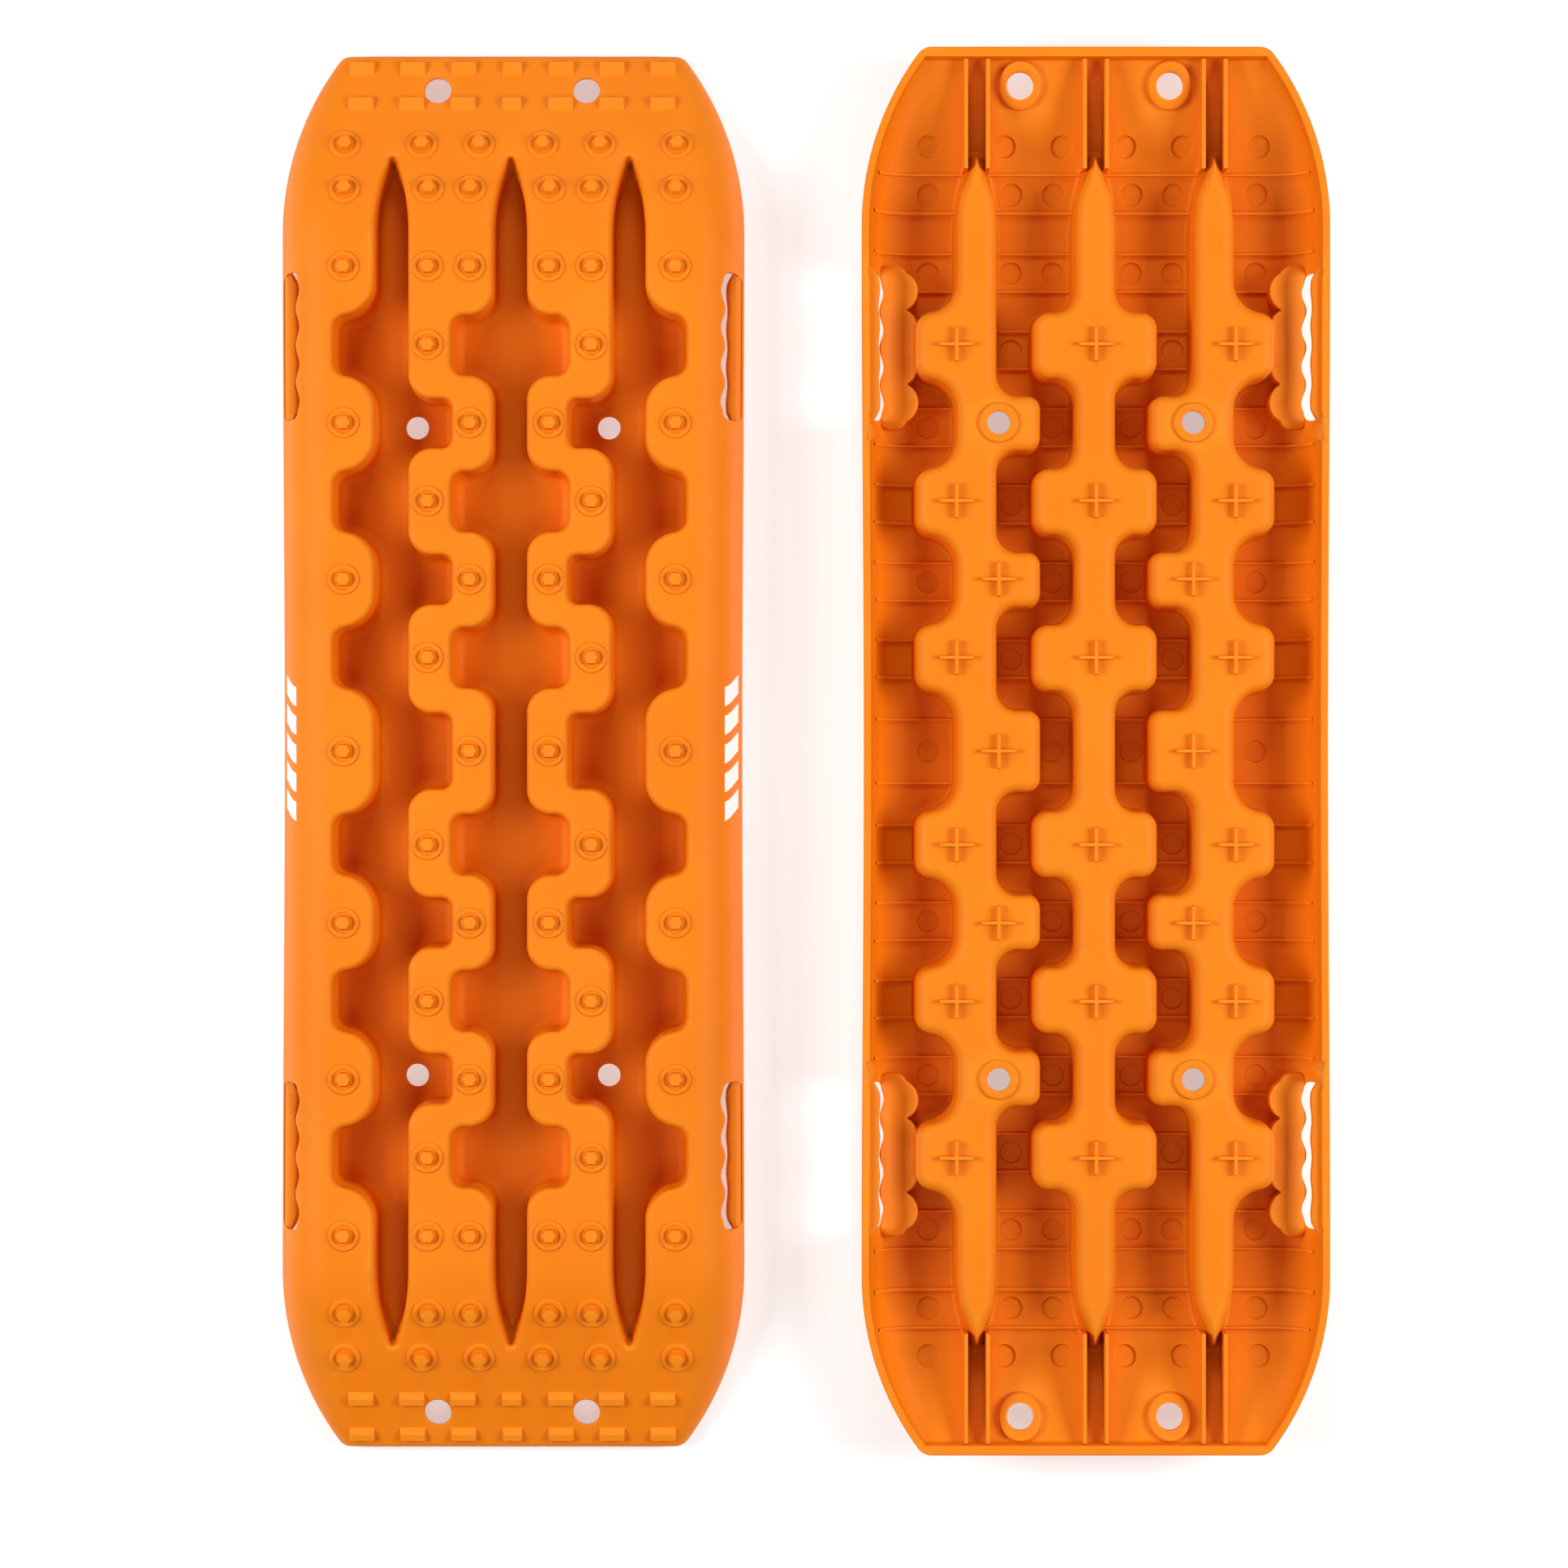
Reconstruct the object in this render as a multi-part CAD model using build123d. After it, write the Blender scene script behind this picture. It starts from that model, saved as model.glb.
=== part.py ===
"""A pair of one-piece recovery mats: one lies face up, the other face down beside it.

Each mat is modelled once in its own frame: X across, Y along, Z up, the ground at z = 0
and its centre at x = y = 0. It is a thin moulded shell with three deep channels, grip
studs and cleats on top, and ribs, ground crosses and hole collars underneath.
Millimetres throughout.
"""

import os
from math import asin, cos, degrees, radians, sin, sqrt, tan

from build123d import *

# Overall size of one mat.
LENGTH = 920.0
HALF_WIDTH = 153.0
SHOULDER_BACK = 117.0  # from an end back to where the taper in plan starts
CORNER_ARC = 190.0  # plan radius of the tapering ends

# Heights above the ground.
KEEL_Z = 5.0  # underside of the channels and of the rim
DECK_Z = 54.0  # top face
LIP_Z = 14.0  # top face at the very end
STUD_TOP = 6.0  # stud tips above the top face

# Walls.
SKIN = 3.0
SIDE_DRAFT = 15.0  # degrees from vertical
SHOULDER_ROUND = 28.0
INNER_ROUND_SHARE = 0.8  # how much of the inset comes off the shoulder's radius
LEAST_ROUND = 1.0
RIM_WIDTH = 5.5
RIM_HEIGHT = 4.0

# The ramp at each end: straight, then rounded into the flat top face.
RAMP_ANGLE = 19.8
RAMP_ROUND = 108.0
RAMP_SECTIONS = (0, 0.13, 0.26, 0.43, 0.64, 0.86, 1)  # where the end's sections lie

# Channels, as cut at mid height.
CHANNEL_FLOOR_Z = KEEL_Z + SKIN
CENTRE_HALF = 10.3
SIDE_HALF = 10.3
SIDE_CHANNEL_X = 77.6
TIP_Y = 388.0
TIP_START_Y = 346.0
TIP_OVERLAP = 20.0  # how far the pointed end runs back into its strip
POCKET_HALF_X = 37.8  # wide pockets of the centre channel
POCKET_HALF_Y = 19.0
OUTER_LOBE_X = 115.2
INNER_LOBE_X = 38.6
INNER_LOBE_HALF_Y = 15.4
MIDDLE_LOBE_HALF_Y = 24.0
LOBE_ROUND = 8.0

# Rows of studs, pockets and ribs, from the middle out.
MIDDLE_PITCH = 61.1
ROW_PITCH = 51.1
LAST_PITCH = 30.4
ROWS = [0.0] + [MIDDLE_PITCH + ROW_PITCH * k for k in range(7)]
ROWS.append(ROWS[-1] + LAST_PITCH)
POCKET_ROWS = (ROWS[1], ROWS[3], ROWS[5])
LAND_ROWS = (ROWS[0], ROWS[2], ROWS[4])
FLOOR_HOLE_Y = ROWS[4]
OUTER_STUD_X = 108.4
WIDE_STUD_X = 53.5
NARROW_STUD_X = 25.9
LAST_ROW_X = (20.8, 58.5, 109.0)

# Studs and cleats.
COLLAR_R = 10.0
COLLAR_H = 1.2
NUB_R = 4.5
NUB_DRAFT = 4.0
ROOT = 1.0  # how deep a stud or cleat is set into the skin
CLEAT_X = (0.0, 32.2, 65.8, 99.4)
CLEAT_HALF = (6.6, 8.5, 8.5, 8.5)
CLEAT_BACK = (9.6, 34.0)  # from the end to each row of cleats
CLEAT_DEPTH = 8.6
CLEAT_H = 3.6
CLEAT_TOP = (-2.5, 1.0)  # where the flat top starts and ends along the mat

# Holes.
END_HOLE_X = 49.0
END_HOLE_Y = 436.0
END_HOLE_R = 8.8
END_BOSS_R = 14.2
FLOOR_HOLE_R = 7.5
FLOOR_BOSS_R = 13.0
FLOOR_BOSS_H = 2.0

# Underside.
CROSS_ARM = 11.0
CROSS_THICK = 3.0
OUTER_CROSS_X = 91.0
INNER_CROSS_X = 63.5
RIB_THICK = 2.0
RIB_HEIGHT = 4.0
RIB_OFFSET = 12.4
MIDDLE_RIB_OFFSET = 21.0
LAST_RIB_Y = 356.0
END_RIB_X = 7.2  # each side of a channel's centre line
END_RIB_THICK = 3.2
END_RIB_INNER_Y = 352.0

# Carry handles: a slot through each side wall, with a scalloped finger flange inside.
HANDLE_Y = 266.0
HANDLE_LENGTH = 97.0
SLOT_BOTTOM_Z = 16.0
SLOT_TOP_Z = 40.0
SLOT_ROUND = 9.0
SLOT_IN_X = 133.0
SLOT_DEPTH = 30.0
FINGER_PITCH = 24.4
FINGERS = 4
FLANGE_IN_X = 117.0
FLANGE_OUT_X = 143.0
FINGER_REACH = 12.6  # radius of each scallop of the flange
FLANGE_DROP = 14.0
FLANGE_THICK = 2.6
FLANGE_LENGTH = 106.0

# The pair: centre to centre, side by side.
PAIR_SPACING = 383.0

HALF_LENGTH = LENGTH / 2
RAMP_SLOPE = tan(radians(RAMP_ANGLE))
ARC_RUN = RAMP_ROUND * sin(radians(RAMP_ANGLE))
ARC_DROP = RAMP_ROUND * (1 - cos(radians(RAMP_ANGLE)))
RAMP_START_Y = HALF_LENGTH - (DECK_Z - LIP_Z - ARC_DROP) / RAMP_SLOPE - ARC_RUN
STUD_TIP_Z = DECK_Z + STUD_TOP


def both_signs(*values):
    """Each value and its negative, with 0 only once."""
    return sorted({sign * v for v in values for sign in (-1, 1)})


def deck_height(y):
    """Height of the top face at a distance y along the mat."""
    past = abs(y) - RAMP_START_Y
    if past <= 0:
        return DECK_Z
    if past <= ARC_RUN:
        return DECK_Z - RAMP_ROUND + sqrt(RAMP_ROUND**2 - past**2)
    return DECK_Z - ARC_DROP - (past - ARC_RUN) * RAMP_SLOPE


def deck_tilt(y):
    """Slope of the top face at y, in degrees: it falls towards both ends."""
    past = min(max(0.0, abs(y) - RAMP_START_Y), ARC_RUN)
    return degrees(asin(past / RAMP_ROUND)) * (1 if y > 0 else -1)


def half_width(y):
    """Half width of the plan outline at y."""
    past = max(0.0, abs(y) - (HALF_LENGTH - SHOULDER_BACK))
    return HALF_WIDTH - CORNER_ARC + sqrt(CORNER_ARC**2 - past**2)


def cross_section(y, inset):
    """The mat's closed cross-section at y, pulled in by inset."""
    low = KEEL_Z - inset / 3
    high = deck_height(y) - inset
    low_half = half_width(y) - inset
    top_half = low_half - (high - low) * tan(radians(SIDE_DRAFT))
    points = [(-low_half, low), (low_half, low), (top_half, high), (-top_half, high)]
    face = make_face(Polyline(*points, close=True))
    top_corners = face.vertices().group_by(Axis.Y)[-1]
    rounding = SHOULDER_ROUND * (deck_height(y) - KEEL_Z) / (DECK_Z - KEEL_Z)
    face = fillet(top_corners, max(rounding - inset * INNER_ROUND_SHARE, LEAST_ROUND))
    return Plane(origin=(0, y, 0), x_dir=(1, 0, 0), z_dir=(0, -1, 0)) * face


def envelope(inset):
    """The mat's closed outer form, pulled in by inset."""
    end = HALF_LENGTH - inset
    start = HALF_LENGTH - SHOULDER_BACK
    flat = extrude(cross_section(0, inset), start, both=True)
    steps = [start + (end - start) * share for share in RAMP_SECTIONS]
    ramp = loft([cross_section(y, inset) for y in steps])
    return flat + ramp + mirror(ramp, Plane.XZ)


def tip(half):
    """The pointed end of a channel, in plan, on its centre line."""
    run = TIP_Y - TIP_START_Y
    radius = (run**2 + half**2) / (2 * half)
    mid = run / 2
    mid_half = half - radius + sqrt(radius**2 - mid**2)
    arc = [
        Line((half, TIP_START_Y - TIP_OVERLAP), (half, TIP_START_Y)),
        ThreePointArc((half, TIP_START_Y), (mid_half, TIP_START_Y + mid), (0, TIP_Y)),
        ThreePointArc((0, TIP_Y), (-mid_half, TIP_START_Y + mid), (-half, TIP_START_Y)),
        Line((-half, TIP_START_Y), (-half, TIP_START_Y - TIP_OVERLAP)),
        Line((-half, TIP_START_Y - TIP_OVERLAP), (half, TIP_START_Y - TIP_OVERLAP)),
    ]
    return make_face(Curve() + arc)


def channel_plan(centre_x, half, lobes):
    """One channel in plan: a pointed strip and its lobes, given as (x0, x1, y, half_y)."""
    strip = Pos(centre_x, 0) * Rectangle(2 * half, 2 * TIP_START_Y - TIP_OVERLAP)
    for turn in (0, 180):
        strip += Pos(centre_x, 0) * Rot(0, 0, turn) * tip(half)
    for x0, x1, y, half_y in lobes:
        strip += Pos((x0 + x1) / 2, y) * RectangleRounded(
            abs(x1 - x0), 2 * half_y, LOBE_ROUND
        )
    return strip


def channel_plans():
    """The centre channel and the two side channels."""
    pockets = [
        (-POCKET_HALF_X, POCKET_HALF_X, y, POCKET_HALF_Y) for y in both_signs(*POCKET_ROWS)
    ]
    plans = [channel_plan(0, CENTRE_HALF, pockets)]
    for side in (-1, 1):
        middle = side * SIDE_CHANNEL_X
        lobes = [
            (middle - side * SIDE_HALF, side * OUTER_LOBE_X, y, POCKET_HALF_Y)
            for y in both_signs(*POCKET_ROWS)
        ]
        for y in both_signs(*LAND_ROWS):
            half_y = INNER_LOBE_HALF_Y if y else MIDDLE_LOBE_HALF_Y
            lobes.append((side * INNER_LOBE_X, middle + side * SIDE_HALF, y, half_y))
        plans.append(channel_plan(middle, SIDE_HALF, lobes))
    return plans


def stud_places():
    """Every stud's (x, y)."""
    places = []
    for y in both_signs(*LAND_ROWS):
        places += [(x, y) for x in both_signs(NARROW_STUD_X, OUTER_STUD_X)]
    for y in both_signs(*POCKET_ROWS):
        places += [(x, y) for x in both_signs(WIDE_STUD_X)]
    for y in both_signs(ROWS[6], ROWS[7]):
        places += [(x, y) for x in both_signs(NARROW_STUD_X, WIDE_STUD_X, OUTER_STUD_X)]
    for y in both_signs(ROWS[8]):
        places += [(x, y) for x in both_signs(*LAST_ROW_X)]
    return places


def stud():
    """A stud on a level face: a collar with a tapered hexagonal nub."""
    collar = Pos(0, 0, (COLLAR_H - ROOT) / 2) * Cylinder(COLLAR_R, COLLAR_H + ROOT)
    nub = extrude(Pos(0, 0, -ROOT) * RegularPolygon(NUB_R, 6), STUD_TOP + ROOT, taper=NUB_DRAFT)
    return collar + nub


def cleat(half):
    """A traction cleat: flat on top, steep towards the middle, sloped to the end."""
    top_start, top_end = CLEAT_TOP
    foot = CLEAT_DEPTH / 2
    points = [(-foot, -ROOT), (foot, -ROOT), (top_end, CLEAT_H), (top_start, CLEAT_H)]
    return extrude(Plane.YZ * make_face(Polyline(*points, close=True)), half, both=True)


def on_deck(shape, x, y):
    """A shape drawn on z = 0, set on the top face at (x, y) along the face's normal."""
    return Pos(x, y, deck_height(y)) * Rot(-deck_tilt(y), 0, 0) * shape


def cross():
    """A ground cross under a channel floor, on the ground at z = 0."""
    height = KEEL_Z + ROOT
    bar = Box(2 * CROSS_ARM, CROSS_THICK, height)
    return Pos(0, 0, height / 2) * (bar + Rot(0, 0, 90) * bar)


def cross_places():
    """Every ground cross's (x, y)."""
    places = [(0, y) for y in both_signs(*POCKET_ROWS)]
    places += [(x, y) for x in both_signs(OUTER_CROSS_X) for y in both_signs(*POCKET_ROWS)]
    places += [
        (x, y) for x in both_signs(INNER_CROSS_X) for y in both_signs(*LAND_ROWS[:2])
    ]
    return places


def handle_flange():
    """The finger flange inside the +X, +Y handle: a sloping plate with scallops."""
    low_z = SLOT_TOP_Z - FLANGE_DROP
    points = [
        (FLANGE_OUT_X, SLOT_TOP_Z + FLANGE_THICK),
        (FLANGE_IN_X, low_z + FLANGE_THICK),
        (FLANGE_IN_X, low_z),
        (FLANGE_OUT_X, SLOT_TOP_Z),
    ]
    profile = Plane.XZ * make_face(Polyline(*points, close=True))
    plate = extrude(profile, FLANGE_LENGTH / 2, both=True)
    root_x = FLANGE_IN_X + FINGER_REACH
    plan = Pos((root_x + FLANGE_OUT_X) / 2, 0) * Rectangle(FLANGE_OUT_X - root_x, FLANGE_LENGTH)
    for k in range(FINGERS):
        y = (k - (FINGERS - 1) / 2) * FINGER_PITCH
        plan += Pos(root_x, y) * Circle(FINGER_REACH)
    return Pos(0, HANDLE_Y, 0) * (plate & extrude(plan, DECK_Z))


def handle_slot():
    """The opening of the +X, +Y handle through the side wall."""
    height = SLOT_TOP_Z - SLOT_BOTTOM_Z
    slot = extrude(Plane.YZ * RectangleRounded(HANDLE_LENGTH, height, SLOT_ROUND), SLOT_DEPTH)
    return Pos(SLOT_IN_X, HANDLE_Y, (SLOT_TOP_Z + SLOT_BOTTOM_Z) / 2) * slot


def four_ways(shape):
    """A shape in the +X, +Y quarter and its three mirror images."""
    pair = [shape, mirror(shape, Plane.YZ)]
    return pair + [mirror(each, Plane.XZ) for each in pair]


def rib_slabs():
    """The thin ribs across the mat, as full-height slabs."""
    spots = [y + d for y in ROWS[1:8] for d in (-RIB_OFFSET, RIB_OFFSET)]
    spots += [MIDDLE_RIB_OFFSET, LAST_RIB_Y]
    return [
        Pos(0, y, DECK_Z / 2) * Box(2 * HALF_WIDTH, RIB_THICK, DECK_Z)
        for y in both_signs(*spots)
    ]


def end_ribs():
    """A pair of tall ribs under each end of each channel, as full-height slabs."""
    length = HALF_LENGTH - END_RIB_INNER_Y
    slab = Pos(0, END_RIB_INNER_Y + length / 2, KEEL_Z) * Box(END_RIB_THICK, length, 2 * DECK_Z)
    slabs = []
    for channel_x in both_signs(0, SIDE_CHANNEL_X):
        for x in (channel_x - END_RIB_X, channel_x + END_RIB_X):
            slabs += [Pos(x, 0, 0) * slab, mirror(Pos(x, 0, 0) * slab, Plane.XZ)]
    return slabs


def hollow():
    """The empty space under the skin: what is left around channels, ribs and bosses."""
    solid_parts = []
    for plan in channel_plans():
        wall = offset(plan, SKIN, kind=Kind.ARC)
        solid_parts.append(extrude(Pos(0, 0, KEEL_Z) * wall, DECK_Z))
    rim = Pos(0, 0, KEEL_Z) * Box(3 * HALF_WIDTH, 2 * LENGTH, 2 * RIM_HEIGHT)
    solid_parts.append(rim - envelope(RIM_WIDTH))
    core = envelope(SKIN + RIB_HEIGHT)
    solid_parts += [slab - core for slab in rib_slabs()]
    solid_parts += end_ribs()
    end_boss = Pos(END_HOLE_X, END_HOLE_Y, 0) * Cylinder(END_BOSS_R, 2 * DECK_Z)
    for shape in (end_boss, handle_flange()):
        solid_parts += four_ways(shape)
    return envelope(SKIN) - solid_parts


def mat():
    """One complete mat, face up."""
    body = envelope(0) - hollow()
    cuts = []
    for plan in channel_plans():
        cuts.append(extrude(Pos(0, 0, CHANNEL_FLOOR_Z) * plan, DECK_Z))
    body -= cuts
    added = []
    for x, y in stud_places():
        added.append(on_deck(stud(), x, y))
    for back in CLEAT_BACK:
        for x, half in zip(CLEAT_X, CLEAT_HALF):
            for cleat_x in both_signs(x):
                near = on_deck(cleat(half), cleat_x, HALF_LENGTH - back)
                added += [near, mirror(near, Plane.XZ)]
    for x, y in cross_places():
        added.append(Pos(x, y, 0) * cross())
    floor_boss = Pos(0, 0, KEEL_Z + (ROOT - FLOOR_BOSS_H) / 2) * Cylinder(
        FLOOR_BOSS_R, ROOT + FLOOR_BOSS_H
    )
    added += four_ways(Pos(INNER_CROSS_X, FLOOR_HOLE_Y, 0) * floor_boss)
    body += added
    end_hole = Pos(END_HOLE_X, END_HOLE_Y, 0) * Cylinder(END_HOLE_R, 3 * DECK_Z)
    floor_hole = Pos(INNER_CROSS_X, FLOOR_HOLE_Y, 0) * Cylinder(FLOOR_HOLE_R, 3 * DECK_Z)
    for shape in (end_hole, floor_hole, handle_slot()):
        body -= four_ways(shape)
    return body


os.makedirs("parts", exist_ok=True)

one_mat = mat()
face_up = Pos(-PAIR_SPACING / 2, 0, 0) * one_mat
face_down = Pos(PAIR_SPACING / 2, 0, STUD_TIP_Z) * Rot(0, 180, 0) * one_mat
export_step(face_up, "parts/mat_face_up.step")
export_step(face_down, "parts/mat_face_down.step")
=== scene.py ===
"""The looks of a pair of recovery mats: one face up, the other face down beside it.

One mat is built once, in its own frame and in millimetres: X across, Y along, Z up, with
the ground at z = 0. A quarter of its skin is drawn and mirrored twice. The skin is two
sheets, a top and an underside, each a height over the plan. Their triangles follow the
edges of the channels and the rounded sides, so every rounding is real geometry. Studs,
cleats, ribs, crosses, bosses and the hand grips are closed forms set into the skin.
"""

from math import asin, cos, pi, radians, sin, sqrt, tan

import bpy
import numpy as np
from mathutils import Euler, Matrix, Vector
from mathutils.geometry import delaunay_2d_cdt


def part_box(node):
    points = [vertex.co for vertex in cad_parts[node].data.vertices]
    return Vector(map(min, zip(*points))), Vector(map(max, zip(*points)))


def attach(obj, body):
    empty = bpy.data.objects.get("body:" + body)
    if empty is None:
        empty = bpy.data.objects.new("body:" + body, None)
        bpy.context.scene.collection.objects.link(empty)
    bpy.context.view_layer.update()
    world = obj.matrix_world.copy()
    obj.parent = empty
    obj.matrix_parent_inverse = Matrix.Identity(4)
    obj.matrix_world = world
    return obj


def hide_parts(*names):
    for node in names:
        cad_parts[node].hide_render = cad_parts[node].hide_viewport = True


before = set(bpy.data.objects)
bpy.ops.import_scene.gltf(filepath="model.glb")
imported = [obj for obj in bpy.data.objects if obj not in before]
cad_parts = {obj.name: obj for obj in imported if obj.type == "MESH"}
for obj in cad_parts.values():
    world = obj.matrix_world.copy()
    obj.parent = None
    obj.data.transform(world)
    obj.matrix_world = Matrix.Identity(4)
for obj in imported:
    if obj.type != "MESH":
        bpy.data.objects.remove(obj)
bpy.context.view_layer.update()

MM = 0.001
UP_NODE, DOWN_NODE = "mat_face_up", "mat_face_down"
UP_BODY, DOWN_BODY = "face_up_mat", "face_down_mat"
up_low, up_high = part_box(UP_NODE)
down_low, down_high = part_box(DOWN_NODE)

# Overall size, from the frame.
HALF_L = (up_high[1] - up_low[1]) / 2 / MM
HALF_W = (up_high[0] - up_low[0]) / 2 / MM
TOP_Z = up_high[2] / MM

# Heights.
KEEL_Z = 5.0
DECK_Z = TOP_Z - 6.0
LIP_Z = 14.0
RIM_LIP_Z = 6.5
FLOOR_Z = 8.0
SKIN = 3.0

# Plan outline.
SHOULDER_BACK = 117.0
CORNER_ARC = 190.0
CORNER_ROUND = 4.0
WAIST = 1.4

# Side walls and end ramps.
SIDE_DRAFT = radians(15)
SHOULDER_ROUND = 30.0
SHOULDER_SHARE = 1.15
RAMP_ANGLE = radians(19.8)
RAMP_ROUND = 108.0
END_ROUND = 3.0
RIM_WIDTH = 5.0
END_RIM_WIDTH = 6.6
RIM_ROUND = 0.9
RIM_WALL = 0.7
RIM_ROOT = 1.6

# Channels: outlines where the walls start, just below the rounded top edges.
WALL_DRAFT = radians(2.2)
EDGE_ROUND = 4.2
FLOOR_ROUND = 6.0
KEEL_ROUND = 8.0
KEEL_ROOT = 3.0
STRIP_HALF = 11.2
SIDE_STRIP_X = 77.6
TIP_Y = 390.0
TIP_RUN = 52.0
TIP_ROUND = 2.5
TIP_LEAN = 0.2
TIP_LEAN_RUN = 30.0
POCKET_X = 38.6
LOBE_OUT_X = 115.6
LOBE_IN_X = 37.8
POCKET_HALF_Y = 19.8
LOBE_HALF_Y = 16.2
MIDDLE_LOBE_HALF_Y = 24.8
POCKET_ROUND = 9.0
LOBE_ROUND = 7.0
CENTRE_BLEND = 16.0
OUTER_BLEND = 22.0
INNER_BLEND = 15.5

# Rows, from the middle out.
MIDDLE_PITCH = 61.1
ROW_PITCH = 51.1
LAST_PITCH = 30.4
ROWS = [0.0] + [MIDDLE_PITCH + ROW_PITCH * k for k in range(7)]
ROWS.append(ROWS[-1] + LAST_PITCH)
POCKET_ROWS = (ROWS[1], ROWS[3], ROWS[5])
LAND_ROWS = (ROWS[0], ROWS[2], ROWS[4])

# Studs and their recesses below, cleats.
NARROW_X, WIDE_X, OUTER_X = 25.9, 53.5, 108.4
LAST_ROW_X = (20.8, 58.5, 109.0)
RECESS_R = 7.3
RECESS_DEPTH = 1.8
CLEAT_X = (0.0, 32.2, 65.8, 99.4)
CLEAT_HALF = (6.6, 8.5, 8.5, 8.5)
CLEAT_BACK = (9.6, 34.0)

# Holes, crosses and ribs.
FLOOR_HOLE = (63.5, ROWS[4], 7.5)
END_HOLE = (49.0, 436.0, 8.8)
HOLE_ROUND = 0.9
CROSS_OUT_X, CROSS_IN_X = 91.0, 63.5
RIB_OFFSET = 12.4
MIDDLE_RIB_Y = 21.0
LAST_RIB_Y = 356.0
RIB_HALF = 1.15
RIB_DEPTH = 3.0
RIB_SUNK = 1.2  # how far a rib's root lies inside the skin
RIB_TO_CHANNEL = 1.8
RIB_TO_SIDE = 8.0
RIB_TO_GRIP = 1.5
END_RIB_X = 7.2
END_RIB_HALF = 1.65
END_RIB_Z = KEEL_Z - 0.35
END_RIB_FROM = 352.0
END_RIB_BACK = 8.0  # from the mat's end
END_RIB_SUNK = 1.4
END_RIB_SECTIONS = 12

# Hand grips, in inset from the side and distance along the mat.
GRIP_Y = 266.0
GRIP_HALF = 48.5
GRIP_LOW = 1.7
GRIP_HIGH = 13.4
GRIP_ROUND = 4.6
FINGER_PITCH = 24.4
FINGER_WAVE = 1.4

STEP = 0.8  # spacing of the grid on which edge lines are traced
LINE_TOLERANCE = 0.045
LONGEST_RUN = 26.0
CUT_GAP = 0.25  # nearest that another line comes to a cut edge
HOLE_SIDES = 40
STUD_SIDES = 24


def quarter_fall(distance, radius):
    """How far a quarter round has dropped at a distance from its far edge: all of the
    radius at 0, and nothing from the radius outwards."""
    inside = radius - np.clip(distance, 0.0, radius)
    return radius - np.sqrt(np.maximum(radius**2 - inside**2, 0.0))


RAMP_ARC_RUN = RAMP_ROUND * sin(RAMP_ANGLE)
RAMP_ARC_DROP = RAMP_ROUND * (1 - cos(RAMP_ANGLE))
RAMP_START = (
    HALF_L - (DECK_Z - LIP_Z - RAMP_ARC_DROP) / tan(RAMP_ANGLE) - RAMP_ARC_RUN
)


def deck(y):
    """Height of the top face along the mat's middle."""
    past = np.maximum(np.abs(y) - RAMP_START, 0.0)
    arc = np.sqrt(RAMP_ROUND**2 - np.minimum(past, RAMP_ARC_RUN) ** 2) - RAMP_ROUND
    straight = np.maximum(past - RAMP_ARC_RUN, 0.0) * tan(RAMP_ANGLE)
    return DECK_Z + arc - straight


def side_inset(x, y):
    """Distance inwards from the long side's outline."""
    past = np.maximum(np.abs(y) - (HALF_L - SHOULDER_BACK), 0.0)
    along = np.clip(np.abs(y) / (HALF_L - SHOULDER_BACK), 0.0, 1.0)
    waist = WAIST * (0.5 + 0.5 * np.cos(pi * along))
    across = np.abs(x) - (HALF_W - CORNER_ARC)
    return CORNER_ARC - np.hypot(across, past) - waist


def rounded_corner(a, b, radius):
    """The smaller of two distances, with the corner between them rounded."""
    corner = radius - np.hypot(np.maximum(radius - a, 0.0), np.maximum(radius - b, 0.0))
    return np.where((a < radius) & (b < radius), corner, np.minimum(a, b))


def outline_inset(x, y):
    """Distance inwards from the plan outline."""
    return rounded_corner(side_inset(x, y), HALF_L - np.abs(y), CORNER_ROUND)


def rim_inset(x, y):
    """Like outline_inset, scaled so that the inside of the rim is at RIM_WIDTH."""
    end = (HALF_L - np.abs(y)) * RIM_WIDTH / END_RIM_WIDTH
    return rounded_corner(side_inset(x, y), end, CORNER_ROUND - RIM_WIDTH / 2)


def shoulder(y, skin):
    """Radius of the shoulder at y, and the insets where its arc starts and ends."""
    high = deck(y) - skin
    radius = np.minimum(SHOULDER_ROUND, SHOULDER_SHARE * (deck(y) - RIM_LIP_Z)) - skin
    radius = np.maximum(radius, 2.0)
    rise = high - radius - RIM_LIP_Z
    arc_end = (radius + rise * sin(SIDE_DRAFT)) / cos(SIDE_DRAFT) + skin / cos(SIDE_DRAFT)
    return radius, arc_end - radius * cos(SIDE_DRAFT), arc_end


def body(x, y, skin=0.0):
    """Height of the mat without its channels, as its outer face or, with skin, as the
    inner face of its wall."""
    inset = side_inset(x, y)
    radius, arc_start, arc_end = shoulder(y, skin)
    wall = RIM_LIP_Z + (inset - skin / cos(SIDE_DRAFT)) / tan(SIDE_DRAFT)
    off = np.clip(arc_end - inset, 0.0, radius)
    arc = deck(y) - skin - radius + np.sqrt(np.maximum(radius**2 - off**2, 0.0))
    height = np.where(inset < arc_start, wall, arc)
    return height - quarter_fall(HALF_L - skin - np.abs(y), END_ROUND)


def strip(x, y):
    """Distance outside a straight channel strip with pointed ends, centred on x = 0."""
    half = STRIP_HALF - TIP_ROUND
    run = TIP_RUN - TIP_ROUND
    radius = (run**2 + half**2) / (2 * half)
    centre = radius - half
    px = np.abs(x)
    py = np.maximum(np.abs(y) - (TIP_Y - TIP_RUN), 0.0)
    past_tip = (py - run) * centre > px * run
    return np.where(past_tip, np.hypot(px, py - run), np.hypot(px + centre, py) - radius) - TIP_ROUND


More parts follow.
